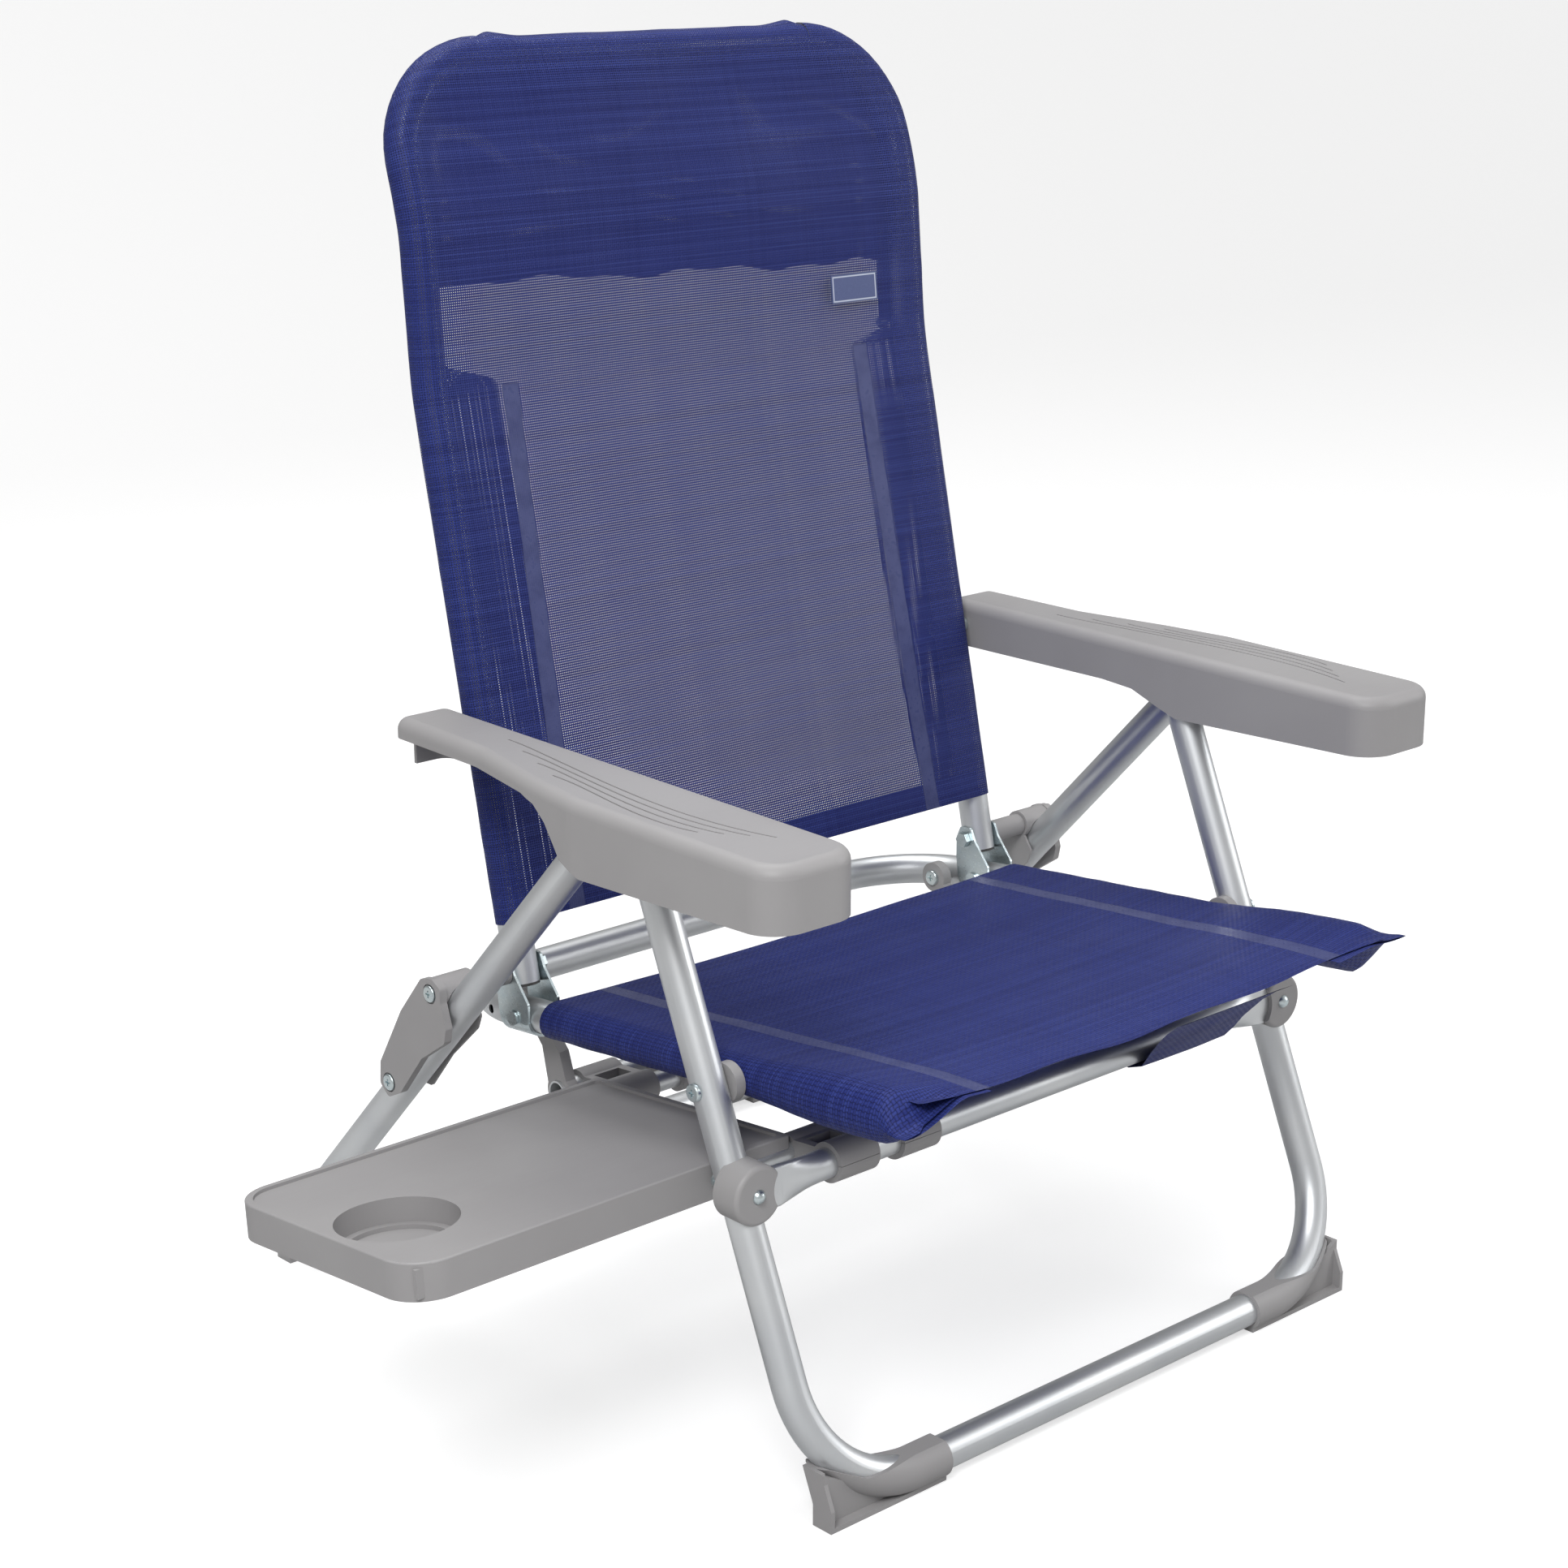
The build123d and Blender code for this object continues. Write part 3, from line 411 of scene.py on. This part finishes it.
def seat_rows():
    rows = []
    for j in range(111):
        t = j / 110
        y_side = seat_y(RAIL_X, t)
        line = seat_round(-1, y_side)[::-1]
        for s in STATIONS:
            x = RAIL_X * s
            y = seat_y(x, t)
            pinch = seat_pinch(y)
            top = SEAT_R - seat_give(x, y) + seat_swell(y) * smooth(158, RAIL_X, abs(x))
            top = lerp(top, min(top, seat_seam(1 if x > 0 else -1, abs(x), 1)), pinch)
            line.append((to_frame(x, y, seat_height(y) + top), (x / 1000, -y / 1000)))
        line += seat_round(1, y_side)
        rows.append(line)
    return rows


def seat_hem_rows(front):
    rows = []
    for j in range(7):
        t = j / 6
        line = []
        for s in STATIONS:
            x = (RAIL_X - 3) * s
            edge = seat_y(x, 1.0 if front else 0.0)
            y = edge + (HEM if front else -HEM) * t
            z = seat_height(y) + SEAT_R - seat_give(x, y) - 2.2 * smooth(0, 0.3, t)
            line.append((to_frame(x, y, z), (x / 1000 + 0.0008, -(2 * edge - y) / 1000 + 0.0007)))
        rows.append(line)
    return rows


def make_seat():
    cloth = grid_mesh("seat_cloth", seat_rows())
    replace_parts(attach(cloth, "seat"), "seat_sling")
    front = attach(grid_mesh("seat_cloth_front_hem", seat_hem_rows(True)), "seat")
    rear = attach(grid_mesh("seat_cloth_rear_hem", seat_hem_rows(False)), "seat")
    return cloth, front, rear


# ------------------------------------------------------------------ cloth loop on the crossbar
# (y, z, inner x, outer x) along the strap, from the seat's front down under the bar and up behind it
LOOP = ((-352, 252.6, 44, 150), (-340, 246, 50, 152), (-322, 233, 62, 158), (-305, 219, 74, 167),
        (-291, 207, 84, 176), (-280, 195.5, 92, 182), (-271, 186.5, 98, 183), (-261, 183.4, 96, 178),
        (-252, 187, 94, 172), (-248.5, 197, 93, 168), (-247.5, 214, 92, 165), (-247, 232, 92, 163),
        (-246, 241, 92, 162))


def make_loop():
    """Loose strap of cloth from the seat's front edge round the crossbar and up again."""
    rows = []
    reach = 0.0
    last = LOOP[0][:2]
    steps = [(p, q, k / 3) for p, q in zip(LOOP, LOOP[1:]) for k in range(3)] + [(LOOP[-2], LOOP[-1], 1.0)]
    for before, after, t in steps:
        y, z, x0, x1 = (lerp(p, q, t) for p, q in zip(before, after))
        reach += math.hypot(y - last[0], z - last[1])
        last = (y, z)
        slack = smooth(-340, -300, y) * (1 - smooth(-300, -262, y))
        line = []
        for j in range(31):
            s = j / 30
            x = lerp(x0, x1, s)
            belly = 3.0 * slack * math.sin(math.pi * s) + 1.2 * wave(x, y, z, 26) * slack
            line.append((to_frame(x, y - belly, z - belly * 0.6), (x / 1000, 1 + reach / 1000)))
        rows.append(line)
    cloth = grid_mesh("crossbar_loop", rows)
    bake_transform(cloth)
    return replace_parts(cloth, "crossbar_sling")


# ------------------------------------------------------------------ shader tools
class Nodes:
    """Short calls for building a material's node tree."""

    def __init__(self, name):
        self.mat = bpy.data.materials.new(name)
        self.mat.use_nodes = True
        self.tree = self.mat.node_tree
        self.tree.nodes.clear()
        self.out = self.tree.nodes.new("ShaderNodeOutputMaterial")

    def add(self, kind, **inputs):
        n = self.tree.nodes.new("ShaderNode" + kind)
        for key, value in inputs.items():
            self.put(n, key, value)
        return n

    def put(self, n, key, value):
        name = key.replace("_", " ")
        socket = n.inputs[int(key[1:])] if key[0] == "i" and key[1:].isdigit() else n.inputs[name]
        if isinstance(value, bpy.types.NodeSocket):
            self.tree.links.new(value, socket)
        else:
            socket.default_value = value

    def math(self, op, a, b=None, clamp=False):
        n = self.tree.nodes.new("ShaderNodeMath")
        n.operation = op
        n.use_clamp = clamp
        for i, value in enumerate((a, b)):
            if value is not None:
                self.put(n, "i%d" % i, value)
        return n.outputs[0]

    def times(self, a, b):
        return self.math("MULTIPLY", a, b)

    def plus(self, a, b):
        return self.math("ADD", a, b)

    def minus(self, a, b, clamp=False):
        return self.math("SUBTRACT", a, b, clamp=clamp)

    def centred(self, x):
        """Distance from the middle of each whole step of x."""
        return self.math("ABSOLUTE", self.minus(self.math("FRACT", x), 0.5))

    def step(self, x, low, high, to_low=0.0, to_high=1.0):
        n = self.tree.nodes.new("ShaderNodeMapRange")
        n.interpolation_type = "SMOOTHSTEP"
        for i, value in enumerate((x, low, high, to_low, to_high)):
            self.put(n, "i%d" % i, value)
        return n.outputs[0]

    def noise(self, where, scale, detail=2.0, roughness=0.5):
        n = self.add("TexNoise", Vector=where, Scale=scale, Detail=detail, Roughness=roughness)
        return n.outputs[0]

    def scaled(self, where, x, y, z):
        n = self.tree.nodes.new("ShaderNodeVectorMath")
        n.operation = "MULTIPLY"
        self.put(n, "i0", where)
        n.inputs[1].default_value = (x, y, z)
        return n.outputs[0]

    def mix(self, t, a, b):
        n = self.tree.nodes.new("ShaderNodeMix")
        n.data_type = "RGBA"
        for i, value in ((0, t), (6, a), (7, b)):
            self.put(n, "i%d" % i, value)
        return n.outputs[2]

    def bump(self, height, distance, strength):
        return self.add("Bump", Height=height, Distance=distance, Strength=strength).outputs[0]

    def finish(self, shader):
        self.tree.links.new(shader, self.out.inputs[0])
        return self.mat


# ------------------------------------------------------------------ woven cloth
# Painted shade: the near-black below colours the gaps and sunken edges of the threads, going by thread
# height.
THREAD_GAP_SHADE = (0.0012, 0.002, 0.016, 1)
NAVY = (0.0075, 0.012, 0.105, 1)
# NAVY_LIT is a lit copy of NAVY: painted highlight on the thread tops.
NAVY_LIT = (0.045, 0.068, 0.300, 1)
FUSED = (0.115, 0.135, 0.33, 1)
DUST = (0.2, 0.23, 0.42, 1)


def weave(name, pitch_u, pitch_v, cover_u, cover_v, bands=()):
    """Open woven mesh: threads both ways, real holes between them, and fused weld bands.

    A band is (side, inner, outer, low, high, drift): its edges across, its ends along, in metres,
    and how far it leans.
    """
    n = Nodes(name)
    uv = n.add("UVMap")
    uv.uv_map = "cloth"
    split = n.add("SeparateXYZ", Vector=uv.outputs[0])
    u, v = split.outputs[0], split.outputs[1]
    wobble = n.noise(uv.outputs[0], 7.0, 1.0)
    shift = n.times(n.minus(wobble, 0.5), 0.5)
    tu = n.plus(n.math("DIVIDE", u, pitch_u), shift)
    tv = n.plus(n.math("DIVIDE", v, pitch_v), shift)
    gap_u = n.centred(tu)
    gap_v = n.centred(tv)
    cell_u, cell_v = n.math("FLOOR", tu), n.math("FLOOR", tv)
    row_id = n.add("CombineXYZ", X=0.0, Y=cell_v, Z=3.0)
    col_id = n.add("CombineXYZ", X=cell_u, Y=0.0, Z=8.0)
    row_rand = n.add("TexWhiteNoise", Vector=row_id.outputs[0]).outputs[0]
    col_rand = n.add("TexWhiteNoise", Vector=col_id.outputs[0]).outputs[0]
    streak = n.noise(n.scaled(uv.outputs[0], 14, 900, 1), 1.0, 2.0)
    width_u = n.plus(cover_u / 2 - 0.02, n.times(col_rand, 0.04))
    width_v = n.plus(cover_v / 2 - 0.07, n.times(streak, 0.14))
    warp = n.step(gap_u, n.minus(width_u, 0.045), n.plus(width_u, 0.03), 1.0, 0.0)
    weft = n.step(gap_v, n.minus(width_v, 0.045), n.plus(width_v, 0.03), 1.0, 0.0)
    cloth = n.math("MAXIMUM", warp, weft)
    over = n.math("MODULO", n.math("ABSOLUTE", n.plus(cell_u, cell_v)), 2.0)
    round_u, round_v = (n.math("SQRT", n.minus(1.0, n.math("POWER", n.times(gap, 2.0), 2.0), clamp=True))
                        for gap in (gap_u, gap_v))
    high_u = n.times(n.times(round_u, warp), n.plus(0.55, n.times(over, 0.45)))
    high_v = n.times(n.times(round_v, weft), n.minus(1.0, n.times(over, 0.45)))
    height = n.math("MAXIMUM", high_u, high_v)
    fused = None
    if bands:
        edge = n.times(n.minus(n.noise(uv.outputs[0], 40.0), 0.5), 0.002)
        for side, inner, outer, low, high, drift in bands:
            across = n.plus(n.times(u, float(side)), edge)
            across = n.plus(across, n.times(n.minus(v, high), drift))
            inside = n.times(n.step(across, inner - 0.0006, inner + 0.0006),
                            n.step(across, outer - 0.0006, outer + 0.0006, 1.0, 0.0))
            inside = n.times(inside, n.step(v, low - 0.001, low + 0.001))
            inside = n.times(inside, n.step(v, high - 0.001, high + 0.001, 1.0, 0.0))
            fused = inside if fused is None else n.math("MAXIMUM", fused, inside)
        glaze = n.noise(uv.outputs[0], 60.0, 4.0, 0.65)
        fused_amount = n.times(fused, n.step(glaze, 0.25, 0.6, 0.65, 1.0))
        cloth = n.math("MAXIMUM", cloth, n.step(fused, 0.2, 0.8))
        height = n.times(height, n.minus(1.0, n.times(fused_amount, 0.8)))
    tone = n.plus(n.times(row_rand, 0.34), n.times(streak, 0.5))
    tone = n.plus(tone, n.times(col_rand, 0.12))
    # Painted highlight: the random thread tone is raised towards the lighter navy on the thread tops, by
    # their height.
    lit = n.times(tone, n.math("POWER", height, 1.5))
    # Painted shade and highlight: the low parts of each thread take the near-black, the high parts the navy
    # and lighter navy.
    color = n.mix(height, THREAD_GAP_SHADE, n.mix(lit, NAVY, NAVY_LIT))
    if fused is not None:
        color = n.mix(n.times(fused_amount, 0.5), color, FUSED)
    dust = n.noise(uv.outputs[0], 11.0, 3.0)
    color = n.mix(n.step(dust, 0.45, 0.8, 0.0, 0.03), color, DUST)
    normal = n.bump(height, 0.00035, 0.9)
    rough = n.plus(0.44, n.times(n.noise(uv.outputs[0], 220.0), 0.18))
    if fused is not None:
        rough = n.minus(rough, n.times(fused_amount, 0.24))
    shader = n.add("BsdfPrincipled", Base_Color=color, Roughness=rough, Normal=normal)
    shader.inputs["Sheen Weight"].default_value = 0.03
    shader.inputs["Sheen Roughness"].default_value = 0.4
    shader.inputs["Specular IOR Level"].default_value = 0.16
    clear = n.add("BsdfTransparent")
    both = n.add("MixShader", i0=cloth, i1=clear.outputs[0], i2=shader.outputs[0])
    return n.finish(both.outputs[0])


# ------------------------------------------------------------------ hard materials
def aluminium(name):
    n = Nodes(name)
    where = n.add("TexCoord").outputs[3]
    fine = n.noise(where, 900.0, 3.0, 0.6)
    cloud = n.noise(where, 14.0, 3.0)
    color = n.mix(n.step(cloud, 0.3, 0.7, 0.0, 1.0), (0.74, 0.755, 0.765, 1), (0.66, 0.68, 0.70, 1))
    rough = n.plus(0.34, n.plus(n.times(fine, 0.08), n.times(cloud, 0.06)))
    normal = n.bump(fine, 0.00003, 0.5)
    shader = n.add("BsdfPrincipled", Base_Color=color, Roughness=rough, Normal=normal)
    shader.inputs["Metallic"].default_value = 0.92
    return n.finish(shader.outputs[0])


def zinc(name):
    n = Nodes(name)
    where = n.add("TexCoord").outputs[3]
    cloud = n.noise(where, 70.0, 3.0, 0.6)
    grain = n.noise(n.scaled(where, 1, 1, 6), 320.0, 3.0)
    color = n.mix(cloud, (0.55, 0.66, 0.72, 1), (0.74, 0.79, 0.77, 1))
    rough = n.plus(0.2, n.times(grain, 0.2))
    normal = n.bump(grain, 0.00005, 0.5)
    shader = n.add("BsdfPrincipled", Base_Color=color, Roughness=rough, Normal=normal)
    shader.inputs["Metallic"].default_value = 1.0
    return n.finish(shader.outputs[0])


def plastic(name, base, worn):
    n = Nodes(name)
    where = n.add("TexCoord").outputs[3]
    grain = n.noise(where, 1400.0, 2.0, 0.6)
    flow = n.noise(where, 9.0, 3.0)
    scuff = n.noise(n.scaled(where, 30, 260, 60), 1.0, 5.0, 0.7)
    color = n.mix(n.step(flow, 0.35, 0.7, 0.0, 0.5), base, worn)
    color = n.mix(n.step(scuff, 0.66, 0.8, 0.0, 0.25), color, worn)
    rough = n.plus(0.42, n.plus(n.times(grain, 0.10), n.times(scuff, 0.08)))
    normal = n.bump(grain, 0.00006, 0.55)
    shader = n.add("BsdfPrincipled", Base_Color=color, Roughness=rough, Normal=normal)
    shader.inputs["Specular IOR Level"].default_value = 0.5
    return n.finish(shader.outputs[0])


def label_material(name, low, high):
    """Blank tag: a pale woven border round a plain field."""
    n = Nodes(name)
    where = n.add("TexCoord").outputs[3]
    split = n.add("SeparateXYZ", Vector=where)
    mid = [(low[i] + high[i]) / 2 for i in range(3)]
    half_x, half_z = (high[0] - low[0]) / 2, (high[2] - low[2]) / 2
    dx = n.minus(half_x, n.math("ABSOLUTE", n.minus(split.outputs[0], mid[0])))
    dz = n.minus(half_z, n.math("ABSOLUTE", n.minus(split.outputs[2], mid[2])))
    inset = n.math("MINIMUM", dx, dz)
    border = n.times(n.step(inset, 0.0010, 0.0014), n.step(inset, 0.0019, 0.0023, 1.0, 0.0))
    thread = n.noise(n.scaled(where, 900, 900, 2600), 1.0, 1.0)
    field = n.mix(thread, (0.035, 0.055, 0.17, 1), (0.07, 0.095, 0.23, 1))
    color = n.mix(border, field, (0.48, 0.52, 0.62, 1))
    normal = n.bump(thread, 0.0001, 0.5)
    shader = n.add("BsdfPrincipled", Base_Color=color, Normal=normal)
    shader.inputs["Roughness"].default_value = 0.45
    return n.finish(shader.outputs[0])


def paint(obj, material):
    obj.data.materials.clear()
    obj.data.materials.append(material)


# ------------------------------------------------------------------ build
back_cloth, back_pocket, back_hem = make_back()
seat_cloth, seat_front_hem, seat_rear_hem = make_seat()
loop = make_loop()

BAND_LOW = V_BOTTOM / 1000 - 0.01   # the back's bands run out of its lower edge
mesh_back = weave("mesh_back", 0.0017, 0.0016, 0.76, 0.68,
                  bands=((-1, 0.151, 0.164, BAND_LOW, back.length_at_height(627) / 1000, 0.034),
                         (1, 0.147, 0.160, BAND_LOW, back.length_at_height(622) / 1000, 0.020)))
mesh_lining = weave("mesh_lining", 0.0017, 0.0016, 0.93, 0.90)
mesh_seat = weave("mesh_seat", 0.0024, 0.0021, 1.04, 1.04,
                  bands=[(side, 0.156, 0.168, -1.0, 0.5, 0.02) for side in (-1, 1)])
for piece in (back_pocket, back_hem):
    paint(piece, mesh_lining)
paint(back_cloth, mesh_back)
for piece in (seat_cloth, seat_front_hem, seat_rear_hem, loop):
    paint(piece, mesh_seat)

looks = {
    "tube": aluminium("anodised_tube"),
    "zinc_steel": zinc("zinc_plate"),
    "grey_plastic": plastic("grey_plastic", (0.300, 0.292, 0.296, 1), (0.345, 0.338, 0.340, 1)),
    "dark_plastic": plastic("dark_plastic", (0.050, 0.048, 0.048, 1), (0.075, 0.072, 0.072, 1)),
}
low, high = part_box("blank_label")
looks["label"] = label_material("blank_tag", low, high)
slots = {s["node"]: s["material_slot"] for s in frame["record"]["subparts"]}
for node, obj in frame["nodes"].items():
    if slots[node] in looks:
        paint(obj, looks[slots[node]])


# ------------------------------------------------------------------ floor, light and camera
def flat_white(name, value):
    """White floor that also glows a little for the camera, so that it reads as a plain background."""
    n = Nodes(name)
    shader = n.add("BsdfPrincipled")
    shader.inputs["Base Color"].default_value = (value, value, value, 1)
    shader.inputs["Roughness"].default_value = 0.9
    shader.inputs["Emission Color"].default_value = (1, 1, 1, 1)
    seen = n.add("LightPath").outputs["Is Camera Ray"]
    n.put(shader, "Emission_Strength", n.times(seen, 0.62))
    return n.finish(shader.outputs[0])


def backdrop():
    """A floor that curves up into a wall behind the chair."""
    rows = []
    for j in range(40):
        t = j / 39
        if t < 0.5:
            y, z = lerp(-4.5, 3.0, t * 2), -0.0002
        else:
            a = math.pi / 2 * (t - 0.5) * 2
            y, z = 3.0 + 2.5 * math.sin(a), 2.5 * (1 - math.cos(a))
        rows.append([(Vector((-9 + 18 * i / 12, y, z)), (i, j)) for i in range(13)])
    rows.append([(Vector((-9 + 18 * i / 12, 5.5, 9.0)), (i, 40)) for i in range(13)])
    floor = grid_mesh("floor", rows)
    paint(floor, flat_white("studio_white", 0.52))


def area_light(name, where, aim, size, watts):
    data = bpy.data.lights.new(name, "AREA")
    data.shape = "RECTANGLE"
    data.size, data.size_y = size
    data.energy = watts
    obj = bpy.data.objects.new(name, data)
    bpy.context.scene.collection.objects.link(obj)
    obj.location = where
    obj.rotation_euler = (Vector(aim) - Vector(where)).to_track_quat("-Z", "Y").to_euler()


backdrop()
CHAIR_MIDDLE = (0.05, 0.0, 0.35)
area_light("key", (-1.9, -1.4, 2.5), CHAIR_MIDDLE, (1.2, 1.2), 66)
area_light("fill", (2.6, -1.7, 1.5), CHAIR_MIDDLE, (1.6, 1.6), 26)
area_light("top", (0.3, 0.9, 3.0), (0.0, 0.0, 0.3), (2.2, 1.6), 44)

world = bpy.data.worlds.new("studio")
world.use_nodes = True
world.node_tree.nodes["Background"].inputs[0].default_value = (1.0, 1.0, 1.0, 1)
world.node_tree.nodes["Background"].inputs[1].default_value = 0.50
bpy.context.scene.world = world

eye = to_frame(-1364.3, -1512.3, 938.5)
target = to_frame(26.0, 0.0, 337.0)
camera_data = bpy.data.cameras.new("camera")
camera_data.lens, camera_data.sensor_width = 70.8, 36.0
camera_data.clip_end = 50.0
camera = bpy.data.objects.new("camera", camera_data)
camera.location = eye
camera.rotation_euler = (target - eye).to_track_quat("-Z", "Y").to_euler()
bpy.context.scene.collection.objects.link(camera)
bpy.context.scene.camera = camera
bpy.context.scene.view_settings.view_transform = "Standard"
bpy.context.scene.view_settings.exposure = 0.0
